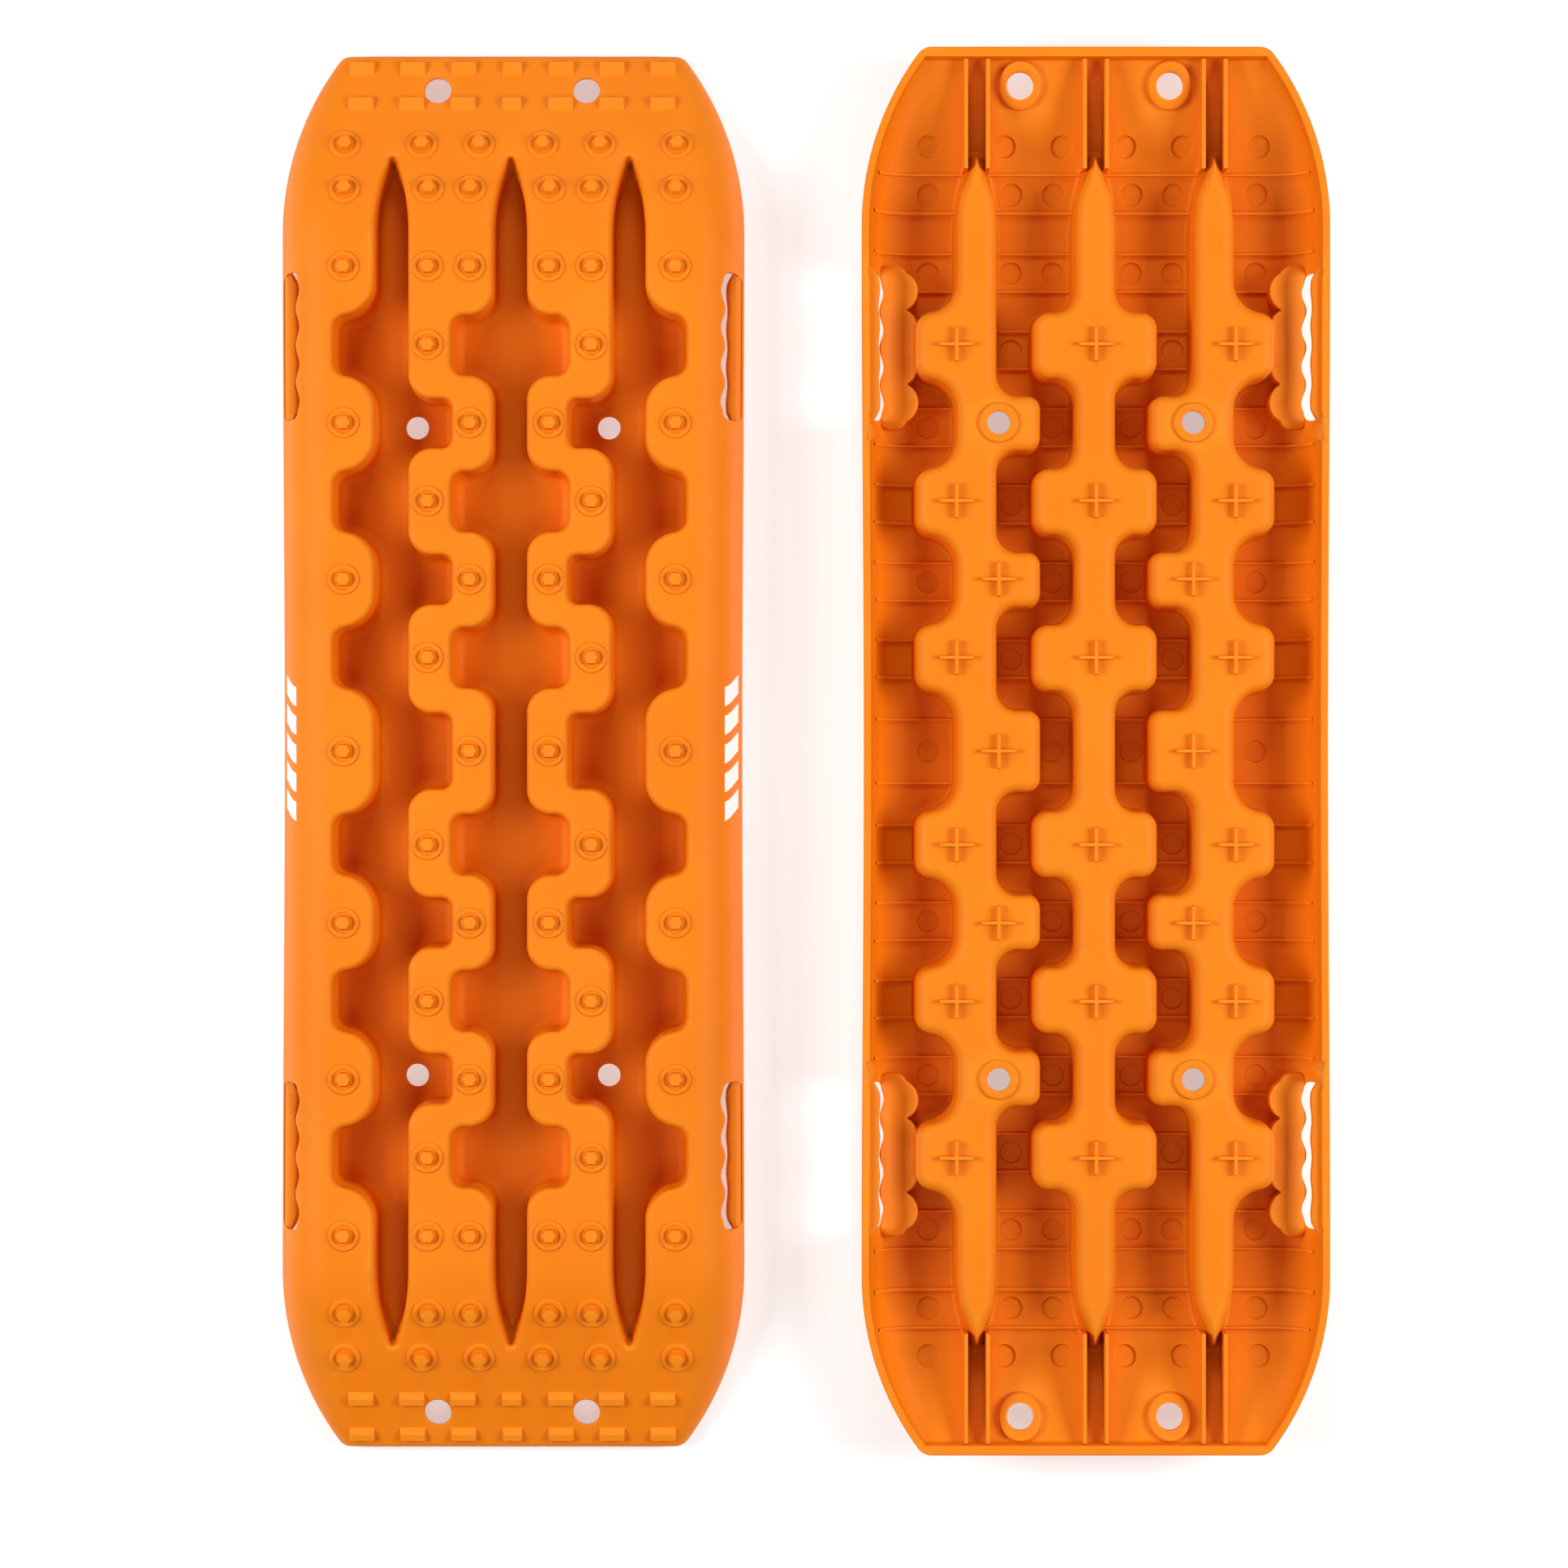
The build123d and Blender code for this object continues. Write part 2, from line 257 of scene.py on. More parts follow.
def lobe(x, y, x0, x1, row, half_y, radius):
    """Distance outside a rounded rectangle from x0 to x1 across a row."""
    qx = np.abs(x - (x0 + x1) / 2) - (x1 - x0) / 2 + radius
    qy = np.abs(y - row) - half_y + radius
    outside = np.hypot(np.maximum(qx, 0.0), np.maximum(qy, 0.0))
    return outside + np.minimum(np.maximum(qx, qy), 0.0) - radius


def rounded_union(a, b, radius):
    """Union of two shapes given by distance, with the corner between them filled."""
    ua = np.maximum(radius - a, 0.0)
    ub = np.maximum(radius - b, 0.0)
    return np.maximum(radius, np.minimum(a, b)) - np.hypot(ua, ub)


def channel(x, y):
    """Distance outside the nearest channel, for x and y in the +X, +Y quarter."""
    x, y = np.abs(x), np.abs(y)
    centre = strip(x, y)
    for row in POCKET_ROWS:
        pocket = lobe(x, y, -POCKET_X, POCKET_X, row, POCKET_HALF_Y, POCKET_ROUND)
        centre = rounded_union(centre, pocket, CENTRE_BLEND)
    outer = inner = strip(x - SIDE_STRIP_X, y)
    for row in POCKET_ROWS:
        pocket = lobe(x, y, SIDE_STRIP_X, LOBE_OUT_X, row, POCKET_HALF_Y, POCKET_ROUND)
        outer = rounded_union(outer, pocket, OUTER_BLEND)
    for row in LAND_ROWS:
        half_y = LOBE_HALF_Y if row else MIDDLE_LOBE_HALF_Y
        pocket = lobe(x, y, LOBE_IN_X, SIDE_STRIP_X, row, half_y, LOBE_ROUND)
        inner = rounded_union(inner, pocket, INNER_BLEND)
    side = np.where(x > SIDE_STRIP_X, outer, inner)
    return np.minimum(centre, side)


def wall_lean(y):
    """Lean of the channel walls, in plan per height: more towards the pointed tips."""
    share = np.clip((np.abs(y) - TIP_Y + TIP_LEAN_RUN) / TIP_LEAN_RUN, 0.0, 1.0)
    return tan(WALL_DRAFT) + TIP_LEAN * share**2 * (3 - 2 * share)


def wall_run(x, y):
    """How far in plan a channel wall leans, from its top to the floor's rounding."""
    height = body(x, y) - EDGE_ROUND - FLOOR_Z - FLOOR_ROUND
    return np.maximum(height, 1.0) * wall_lean(y)


def keel_run(x, y):
    """The same for the outside of a channel, from the skin down to the keel's rounding."""
    height = body(x, y, SKIN) - KEEL_ROOT - KEEL_Z - KEEL_ROUND
    return np.maximum(height, 1.0) * wall_lean(y)


def hole_distance(x, y, hole):
    """Distance outside a round hole."""
    return np.hypot(np.abs(x) - hole[0], np.abs(y) - hole[1]) - hole[2]


def grip(x, y):
    """Distance outside a hand grip's opening, measured over the side wall's plan."""
    inset = side_inset(x, y)
    along = np.abs(y) - GRIP_Y
    wave = FINGER_WAVE * np.cos(2 * pi * (along / FINGER_PITCH + 0.5))
    fade = np.clip((GRIP_HALF - np.abs(along)) / 10.0, 0.0, 1.0)
    high = GRIP_HIGH + wave * fade
    middle = (GRIP_LOW + high) / 2
    qx = np.abs(inset - middle) - (high - GRIP_LOW) / 2 + GRIP_ROUND
    qy = np.abs(along) - GRIP_HALF + GRIP_ROUND
    outside = np.hypot(np.maximum(qx, 0.0), np.maximum(qy, 0.0))
    return outside + np.minimum(np.maximum(qx, qy), 0.0) - GRIP_ROUND


def top_height(x, y):
    """Height of the top sheet."""
    base = body(x, y)
    gap = channel(x, y)
    run = wall_run(x, y)
    wall = base - EDGE_ROUND + np.minimum(gap, 0.0) / wall_lean(y)
    edge = base - quarter_fall(gap, EDGE_ROUND)
    floor = FLOOR_Z + quarter_fall(-gap - run, FLOOR_ROUND)
    height = np.where(gap >= 0, edge, np.where(gap > -run, wall, floor))
    for hole in (END_HOLE, FLOOR_HOLE):
        height = height - quarter_fall(hole_distance(x, y, hole), HOLE_ROUND)
    return height - quarter_fall(grip(x, y), HOLE_ROUND)


def stud_places():
    """Every stud's x and y in the +X, +Y quarter, the axes included."""
    places = []
    for row in LAND_ROWS:
        places += [(x, row) for x in (NARROW_X, OUTER_X)]
    for row in POCKET_ROWS:
        places += [(WIDE_X, row)]
    for row in (ROWS[6], ROWS[7]):
        places += [(x, row) for x in (NARROW_X, WIDE_X, OUTER_X)]
    places += [(x, ROWS[8]) for x in LAST_ROW_X]
    return places


def under_height(x, y):
    """Height of the underside sheet."""
    base = body(x, y, SKIN)
    gap = channel(x, y) - SKIN
    run = keel_run(x, y)
    root = base - quarter_fall(gap, KEEL_ROOT)
    wall = base - KEEL_ROOT + np.minimum(gap, 0.0) / wall_lean(y)
    keel = KEEL_Z + quarter_fall(-gap - run, KEEL_ROUND)
    height = np.where(gap >= 0, root, np.where(gap > -run, wall, keel))
    for sx, sy in stud_places():
        off = np.hypot(np.abs(x) - sx, np.abs(y) - sy)
        height = height + RECESS_DEPTH * np.clip((RECESS_R - off) / 0.5, 0.0, 1.0)
    rim = rim_inset(x, y) - RIM_WIDTH
    rim_wall = np.clip(rim / RIM_WALL, 0.0, 1.0)
    flat = KEEL_Z + quarter_fall(-rim, RIM_ROUND)
    flat = flat + quarter_fall(outline_inset(x, y), RIM_ROUND)
    low = KEEL_Z + RIM_ROUND
    risen = low + rim_wall * (base - RIM_ROOT - low)
    inner = height - quarter_fall(rim - RIM_WALL, RIM_ROOT)
    return np.where(rim <= 0, flat, np.where(rim < RIM_WALL, risen, inner))


# Tracing level lines and triangulating a sheet.


def grid():
    """The grid that covers the +X, +Y quarter, with a margin."""
    xs = np.arange(-2 * STEP, HALF_W + 3 * STEP, STEP)
    ys = np.arange(-2 * STEP, HALF_L + 3 * STEP, STEP)
    return xs, ys


GRID_X, GRID_Y = grid()
MESH_X, MESH_Y = np.meshgrid(GRID_X, GRID_Y, indexing="ij")

# Sides that a line joins in a cell (left, right, bottom, top), by which corners are inside.
LINE_CASES = {
    1: ["lb"], 2: ["br"], 3: ["lr"], 4: ["rt"], 5: ["lb", "rt"], 6: ["bt"], 7: ["lt"],
    8: ["lt"], 9: ["bt"], 10: ["br", "lt"], 11: ["rt"], 12: ["lr"], 13: ["br"], 14: ["lb"],
}


def trace(values):
    """The zero lines of a field on the grid, as lists of points."""
    inside = values < 0
    points = {}

    def cross_x(i, j):
        key = (0, i, j)
        if key not in points:
            a, b = values[i, j], values[i + 1, j]
            points[key] = (GRID_X[i] + STEP * a / (a - b), GRID_Y[j])
        return key

    def cross_y(i, j):
        key = (1, i, j)
        if key not in points:
            a, b = values[i, j], values[i, j + 1]
            points[key] = (GRID_X[i], GRID_Y[j] + STEP * a / (a - b))
        return key

    code = (
        inside[:-1, :-1] * 1
        + inside[1:, :-1] * 2
        + inside[1:, 1:] * 4
        + inside[:-1, 1:] * 8
    )
    links = {}
    for i, j in zip(*np.nonzero((code > 0) & (code < 15))):
        sides = {"l": (1, i, j), "r": (1, i + 1, j), "b": (0, i, j), "t": (0, i, j + 1)}
        for a, b in LINE_CASES[code[i, j]]:
            ka, kb = sides[a], sides[b]
            for key in (ka, kb):
                (cross_x if key[0] == 0 else cross_y)(key[1], key[2])
            links.setdefault(ka, []).append(kb)
            links.setdefault(kb, []).append(ka)
    lines = []
    used = set()
    starts = [k for k, v in links.items() if len(v) == 1] + list(links)
    for start in starts:
        if start in used:
            continue
        line = [start]
        used.add(start)
        while True:
            ahead = [k for k in links[line[-1]] if k not in used]
            if not ahead:
                break
            line.append(ahead[0])
            used.add(ahead[0])
        if len(line) > 2 and start in links[line[-1]]:
            line.append(start)
        if len(line) > 2:
            lines.append(np.array([points[k] for k in line]))
    return lines


def clip_quarter(lines):
    """The pieces of lines that lie in the quarter, ending exactly on its axes."""
    for axis in (0, 1):
        pieces = []
        for part in lines:
            current = []
            for k, point in enumerate(part):
                if point[axis] >= 0:
                    if not current and k:
                        before = part[k - 1]
                        share = before[axis] / (before[axis] - point[axis])
                        start = before + (point - before) * share
                        start[axis] = 0.0
                        current.append(start)
                    current.append(point)
                elif current:
                    before = part[k - 1]
                    share = before[axis] / (before[axis] - point[axis])
                    end = before + (point - before) * share
                    end[axis] = 0.0
                    current.append(end)
                    pieces.append(np.array(current))
                    current = []
            if len(current) > 1:
                pieces.append(np.array(current))
        lines = pieces
    return lines


def thin(line):
    """A line with only the points that keep its shape, none too far apart."""
    keep = {0, len(line) - 1}
    closed = np.allclose(line[0], line[-1])
    if closed:
        keep.add(len(line) // 2)
    order = sorted(keep)
    stack = list(zip(order[:-1], order[1:]))
    while stack:
        a, b = stack.pop()
        if b - a < 2:
            continue
        chord = line[b] - line[a]
        length = np.hypot(*chord)
        between = line[a + 1 : b] - line[a]
        if length < 1e-6:
            off = np.hypot(between[:, 0], between[:, 1])
        else:
            off = np.abs(between[:, 0] * chord[1] - between[:, 1] * chord[0]) / length
        worst = int(np.argmax(off))
        bent = off[worst] > LINE_TOLERANCE
        if bent or length > LONGEST_RUN:
            middle = a + 1 + worst if bent else (a + b) // 2
            keep.add(middle)
            stack += [(a, middle), (middle, b)]
    return line[sorted(keep)]


def level_lines(field, level=0.0):
    """The lines where a field has a level, thinned and clipped to the quarter."""
    lines = clip_quarter(trace(field - level))
    return [thin(line) for line in lines if len(line) > 2]


def without(lines, blocked):
    """Lines cut where a function of x and y says that they are blocked."""
    kept = []
    for line in lines:
        free = ~blocked(line[:, 0], line[:, 1])
        current = []
        for point, ok in zip(line, free):
            if ok:
                current.append(point)
            else:
                if len(current) > 1:
                    kept.append(np.array(current))
                current = []
        if len(current) > 1:
            kept.append(np.array(current))
    return kept


def circle(x, y, radius, count):
    """A closed round line."""
    turn = np.linspace(0, 2 * pi, count + 1)
    return np.stack([x + radius * np.cos(turn), y + radius * np.sin(turn)], axis=1)


def triangulate(lines):
    """Triangles of the quarter that follow the given lines."""
    points = []
    edges = []
    for line in lines:
        start = len(points)
        points += [tuple(p) for p in line]
        edges += [(start + k, start + k + 1) for k in range(len(line) - 1)]
    result = delaunay_2d_cdt([Vector(p) for p in points], edges, [], 0, 1e-4, False)
    verts = np.array([(v[0], v[1]) for v in result[0]])
    faces = np.array([f for f in result[2]], dtype=int)
    return verts, faces


def inside_faces(verts, faces, blocked):
    """Faces whose middle isn't blocked and that aren't slivers of no area."""
    a, b, c = (verts[faces[:, k]] for k in range(3))
    area = (b[:, 0] - a[:, 0]) * (c[:, 1] - a[:, 1]) - (b[:, 1] - a[:, 1]) * (c[:, 0] - a[:, 0])
    middle = (a + b + c) / 3
    keep = ~blocked(middle[:, 0], middle[:, 1]) & (np.abs(area) > 1e-7)
    faces = faces[keep]
    flip = area[keep] < 0
    faces[flip] = faces[flip][:, ::-1]
    return faces


def arc_steps(count):
    """Distances from a quarter round's wall, as shares of its radius, evenly turned."""
    return [1 - sin(k * pi / 2 / count) for k in range(count + 1)]


def frame_lines():
    """The quarter's axes and the outline, shared by both sheets."""
    outline = level_lines(outline_inset(MESH_X, MESH_Y))
    axis_x = np.array([(0.0, 0.0), (HALF_W - WAIST, 0.0)])
    axis_y = np.array([(0.0, 0.0), (0.0, HALF_L)])
    return outline, [axis_x, axis_y]


def hole_lines():
    """Edges of the holes and of the hand grip's opening, shared by both sheets."""
    lines = [circle(*hole, HOLE_SIDES) for hole in (FLOOR_HOLE, END_HOLE)]
    return lines + level_lines(grip(MESH_X, MESH_Y))


def cut_away(x, y):
    """True in a hole, in the hand grip's opening or outside the mat."""
    cut = outline_inset(x, y) < 0
    for hole in (FLOOR_HOLE, END_HOLE):
        cut = cut | (hole_distance(x, y, hole) < 0)
    return cut | (grip(x, y) < 0)


def near_cut(x, y):
    """True where a line would come too close to a hole, the grip or the outline."""
    near = outline_inset(x, y) < CUT_GAP
    for hole in (FLOOR_HOLE, END_HOLE):
        near = near | (hole_distance(x, y, hole) < CUT_GAP)
    return near | (grip(x, y) < CUT_GAP)


def hole_edge_lines():
    """Lines of the small rounding round each hole and grip opening."""
    lines = []
    for share in (1.0, 0.3):
        for x, y, radius in (FLOOR_HOLE, END_HOLE):
            lines.append(circle(x, y, radius + HOLE_ROUND * share, HOLE_SIDES))
    return lines + level_lines(grip(MESH_X, MESH_Y), HOLE_ROUND)


def ramp_lines():
    """Lines straight across the curved start of the ramp."""
    lines = []
    ys = [RAMP_START + RAMP_ARC_RUN * k / 5 for k in range(6)]
    ys += [RAMP_START + RAMP_ARC_RUN + 18.0 * k for k in range(1, 6)]
    for y in ys:
        if y < HALF_L - 1:
            xs = np.arange(0.0, HALF_W, 6.0)
            line = np.stack([xs, np.full(len(xs), y)], axis=1)
            lines.append(line[outline_inset(line[:, 0], line[:, 1]) > 1.0])
    return lines


def shoulder_lines(skin):
    """Lines along the rounded shoulder."""
    inset = side_inset(MESH_X, MESH_Y)
    _, start, end = shoulder(MESH_Y, skin)
    lines = []
    for k in range(8):
        share = 1 - sin((1 - k / 7) * (pi / 2 - SIDE_DRAFT)) / sin(pi / 2 - SIDE_DRAFT)
        lines += level_lines(inset - (start + (end - start) * share))
    return lines


def top_lines():
    """All lines of the top sheet apart from the shared ones."""
    gap = channel(MESH_X, MESH_Y)
    run = wall_run(MESH_X, MESH_Y)
    lines = []
    for share in arc_steps(4):
        lines += level_lines(gap - EDGE_ROUND * share)
    for share in arc_steps(4):
        lines += level_lines(gap + run + FLOOR_ROUND * share)
    end = HALF_L - MESH_Y
    for share in (0.38, 1.0):
        lines += level_lines(end - END_ROUND * share)
    return lines + shoulder_lines(0.0) + ramp_lines() + hole_edge_lines()


def under_lines():
    """All lines of the underside sheet apart from the shared ones."""
    gap = channel(MESH_X, MESH_Y) - SKIN
    run = keel_run(MESH_X, MESH_Y)
    lines = []
    for share in arc_steps(2):
        lines += level_lines(gap - KEEL_ROOT * share)
    for share in arc_steps(4):
        lines += level_lines(gap + run + KEEL_ROUND * share)
    rim = rim_inset(MESH_X, MESH_Y) - RIM_WIDTH
    for level in (-RIM_ROUND, -RIM_ROUND * 0.4, 0.0, RIM_WALL, RIM_WALL + RIM_ROOT * 0.4):
        lines += level_lines(rim, level)
    lines += level_lines(rim, RIM_WALL + RIM_ROOT)
    lines += level_lines(outline_inset(MESH_X, MESH_Y), RIM_ROUND)
    for x, y in stud_places():
        for step_out in (0.4, 0.0, -0.5, -0.9):
            lines += clip_quarter([circle(x, y, RECESS_R + step_out, STUD_SIDES)])
    inner = without(shoulder_lines(SKIN), lambda x, y: rim_inset(x, y) < RIM_WIDTH + 2.0)
    across = without(ramp_lines(), lambda x, y: rim_inset(x, y) < RIM_WIDTH + 2.0)
    return lines + inner + across


def gradient_normals(verts, height):
    """Unit normals of a height over the plan, from its slopes."""
    h = 0.02
    x, y = verts[:, 0], verts[:, 1]
    dx = (height(x + h, y) - height(x - h, y)) / (2 * h)
    dy = (height(x, y + h) - height(x, y - h)) / (2 * h)
    normals = np.stack([-dx, -dy, np.ones(len(x))], axis=1)
    return normals / np.linalg.norm(normals, axis=1)[:, None]


class Builder:
    """Collects triangles with a normal at each corner."""

    def __init__(self):
        self.verts = []
        self.faces = []
        self.normals = []
        self.count = 0

    def add(self, verts, faces, corner_normals):
        """Adds triangles. corner_normals has three normals per face."""
        self.verts.append(verts)
        self.faces.append(faces + self.count)
        self.normals.append(corner_normals)
        self.count += len(verts)

    def merged(self):
        """All triangles with shared corners joined."""
        verts = np.concatenate(self.verts)
        faces = np.concatenate(self.faces)
        normals = np.concatenate(self.normals)
        keys = np.round(verts * 5000).astype(np.int64)
        _, first, back = np.unique(keys, axis=0, return_index=True, return_inverse=True)
        back = back.reshape(-1)
        faces = back[faces]
        whole = (
            (faces[:, 0] != faces[:, 1])
            & (faces[:, 1] != faces[:, 2])
            & (faces[:, 2] != faces[:, 0])
        )
        return verts[first], faces[whole], normals[whole]


def mirrored(verts, faces, normals, axis):
    """The mirror image of triangles in x (0) or y (1)."""
    flip = np.ones(3)
    flip[axis] = -1
    return verts * flip, faces[:, ::-1], (normals * flip)[:, ::-1]


def add_four(builder, verts, faces, normals):
    """Adds triangles of the +X, +Y quarter and their three mirror images."""
    quarter = (verts, faces, normals)
    across = mirrored(*quarter, 0)
    for part in (quarter, across, mirrored(*quarter, 1), mirrored(*across, 1)):
        builder.add(*part)


def boundary_edges(faces):
    """Directed edges that only one face uses."""
    edges = np.concatenate([faces[:, [0, 1]], faces[:, [1, 2]], faces[:, [2, 0]]])
    present = set(map(tuple, edges))
    return [edge for edge in map(tuple, edges) if (edge[1], edge[0]) not in present]


def cut_wall(solid, faces, under):
    """The walls at a sheet's cut edges, down to the other sheet, with their normals."""
    edges = [
        (a, b)
        for a, b in boundary_edges(faces)
        if max(solid[a, 0], solid[b, 0]) > 1e-4 and max(solid[a, 1], solid[b, 1]) > 1e-4
    ]
    facing = np.zeros((len(solid), 3))
    for a, b in edges:
        along = solid[b, :2] - solid[a, :2]
        side = np.array([along[1], -along[0], 0.0])
        facing[a] += side
        facing[b] += side
    facing /= np.maximum(np.linalg.norm(facing, axis=1)[:, None], 1e-12)
    verts, walls, normals = [], [], []
    for a, b in edges:
        low_a, low_b = solid[a].copy(), solid[b].copy()
        low_a[2], low_b[2] = under(*low_a[:2]), under(*low_b[:2])
        start = len(verts)
        verts += [solid[b], solid[a], low_a, low_b]
        walls += [(start, start + 1, start + 2), (start, start + 2, start + 3)]
        normals += [[facing[b], facing[a], facing[a]], [facing[b], facing[a], facing[b]]]
    return np.array(verts), np.array(walls), np.array(normals)


def sheet(lines, cut, height, sign):
    """One sheet of a skin: its corners, faces and normals. sign is -1 for an underside."""
    verts, faces = triangulate(lines)
    faces = inside_faces(verts, faces, cut)
    used, faces = np.unique(faces, return_inverse=True)
    faces = faces.reshape(-1, 3)
    verts = verts[used]
    normals = gradient_normals(verts, height) * sign
    solid = np.column_stack([verts, height(verts[:, 0], verts[:, 1])])
    if sign < 0:
        faces = faces[:, ::-1]
    return solid, faces, normals[faces]


def skin_quarter():
    """Triangles of the skin in the +X, +Y quarter: top, underside and cut edges."""
    outline, axes = frame_lines()
    shared = outline + hole_lines() + axes
    top = sheet(shared + without(top_lines(), near_cut), cut_away, top_height, 1)
    under = sheet(shared + without(under_lines(), near_cut), cut_away, under_height, -1)
    return [top, under, cut_wall(top[0], top[1], under_height)]


# Closed forms set into the skin.

CREASE = radians(38)


def ring_solid(rings):
    """A closed form through rings of points, capped at both ends, facing outwards when
    the rings turn left seen from the far end."""
    count = len(rings[0])
    verts = [p for ring in rings for p in ring]
    verts += [np.mean(rings[0], axis=0), np.mean(rings[-1], axis=0)]
    faces = []
    for k in range(len(rings) - 1):
        for j in range(count):
            a, b = k * count + j, k * count + (j + 1) % count
            faces += [(a, b, b + count), (a, b + count, a + count)]
    last = (len(rings) - 1) * count
    for j in range(count):
        faces.append((len(verts) - 2, (j + 1) % count, j))
        faces.append((len(verts) - 1, last + j, last + (j + 1) % count))
    return np.array(verts, dtype=float), np.array(faces, dtype=int)


def loop_solid(sections):
    """A closed ring-shaped form through closed sections placed round a loop."""
    count = len(sections[0])
    verts = np.concatenate(sections)
    faces = []
    for k in range(len(sections)):
        here, after = k * count, (k + 1) % len(sections) * count
        for j in range(count):
            a, b = j, (j + 1) % count
            faces += [(here + a, here + b, after + b), (here + a, after + b, after + a)]
    return verts, np.array(faces, dtype=int)


def outward(verts, faces):
    """The faces, turned to face outwards."""
    a, b, c = (verts[faces[:, k]] for k in range(3))
    volume = np.einsum("ij,ij->i", a, np.cross(b, c)).sum()
    return faces if volume > 0 else faces[:, ::-1]


def crease_normals(verts, faces):
    """A normal for each face's corner, smooth only across edges flatter than CREASE."""
    a, b, c = (verts[faces[:, k]] for k in range(3))
    face_normals = np.cross(b - a, c - a)
    lengths = np.maximum(np.linalg.norm(face_normals, axis=1), 1e-12)
    units = face_normals / lengths[:, None]
    around = [[] for _ in verts]
    for number, face in enumerate(faces):
        for corner in face:
            around[corner].append(number)
    normals = np.zeros((len(faces), 3, 3))
    for number, face in enumerate(faces):
        for k, corner in enumerate(face):
            near = np.array(around[corner])
            alike = near[units[near] @ units[number] > cos(CREASE)]
            total = face_normals[alike].sum(axis=0) if len(alike) else units[number]
            normals[number, k] = total / max(np.linalg.norm(total), 1e-12)
    return normals


def placed(form, x, y, z, lean=0.0, turn=0.0):
    """A form's corners turned, leaned along the mat and moved to a place."""
    verts, faces = form
    spin = np.array(Euler((-lean, 0, turn), "XYZ").to_matrix())
    return verts @ spin.T + np.array([x, y, z]), faces


def ramp_lean(y):
    """Slope of the top face at y."""
    past = min(max(y - RAMP_START, 0.0), RAMP_ARC_RUN)
    return asin(past / RAMP_ROUND)


STUD_RINGS = (  # radius, height, and how hexagonal: 0 is round
    (10.2, -0.9, 0), (10.0, 0.9, 0), (9.6, 1.4, 0), (9.1, 1.6, 0), (7.4, 1.5, 0),
    (6.9, 1.25, 0), (6.4, 0.8, 0), (5.4, 0.75, 0), (4.9, 1.1, 0.8), (4.3, 4.7, 1),
    (4.05, 5.6, 1), (3.5, 5.95, 1),
)


def stud_form():
    """A grip stud: a dished collar and a tapered hexagonal nub."""
    turns = [2 * pi * k / STUD_SIDES for k in range(STUD_SIDES)]
    rings = []
    for radius, height, hexagonal in STUD_RINGS:
        ring = []
        for turn in turns:
            side = (turn + pi / 6) % (pi / 3) - pi / 6
            reach = radius * (1 + hexagonal * (0.96 / cos(pi / 6 - abs(side)) - 1))
            ring.append((reach * cos(turn), reach * sin(turn), height))
        rings.append(ring)
    return ring_solid(rings)


def block_ring(x0, x1, y0, y1, z, corner):
    """A rectangle's outline with cut corners, as points."""
    return [
        (x1, y0 + corner, z), (x1, y1 - corner, z), (x1 - corner, y1, z),
        (x0 + corner, y1, z), (x0, y1 - corner, z), (x0, y0 + corner, z),
        (x0 + corner, y0, z), (x1 - corner, y0, z),
    ]


CLEAT_RINGS = (  # how much shorter than the foot, from y to y, height
    (0.0, -4.7, 4.6, -1.2), (0.1, -4.2, 4.5, 0.1), (0.5, -0.7, 4.2, 3.0), (0.8, -0.3, 3.9, 3.35),
)
CLEAT_CORNER = 0.3
CROSS_RINGS = (  # half length, half thickness, height
    (11.8, 1.5, 5.8), (11.4, 1.3, 4.6), (11.0, 1.15, 0.25), (10.8, 0.95, 0.0),
)
CROSS_CORNER = 0.4
CROSS_STAGGER = 0.06  # height between a cross's two arms, so that no faces coincide


def cleat_form(half):
    """An end cleat: a slope up from the mat's middle to a flat top."""
    return ring_solid([
        block_ring(shorter - half, half - shorter, y0, y1, z, CLEAT_CORNER)
        for shorter, y0, y1, z in CLEAT_RINGS
    ])


def cross_bar_form():
    """One arm across a ground cross, pointing down from a keel."""
    return ring_solid([
        block_ring(-arm, arm, -half, half, z, CROSS_CORNER) for arm, half, z in CROSS_RINGS
    ])


def rib_section(middle, half, low, high):
    """Across a rib: (sideways, height) points, rounded at the free edge."""
    return [
        (middle - half, high), (middle - half * 0.8, low + 0.5), (middle - half * 0.45, low),
        (middle + half * 0.45, low), (middle + half * 0.8, low + 0.5), (middle + half, high),
    ]


def end_rib_forms():
    """The tall ribs under the channel ends, in the +X, +Y quarter."""
    forms = []
    for x in (END_RIB_X, SIDE_STRIP_X - END_RIB_X, SIDE_STRIP_X + END_RIB_X):
        rings = []
        start = END_RIB_FROM
        while channel(x, start) < INSIDE_WALL + 0.5:
            start += 0.5
        for y in np.linspace(start, HALF_L - END_RIB_BACK, END_RIB_SECTIONS):
            high = float(body(x, y, SKIN)) + END_RIB_SUNK
            section = rib_section(x, END_RIB_HALF, END_RIB_Z, high)
            rings.append([(px, y, pz) for px, pz in section])
        forms.append(ring_solid(rings))
    return forms


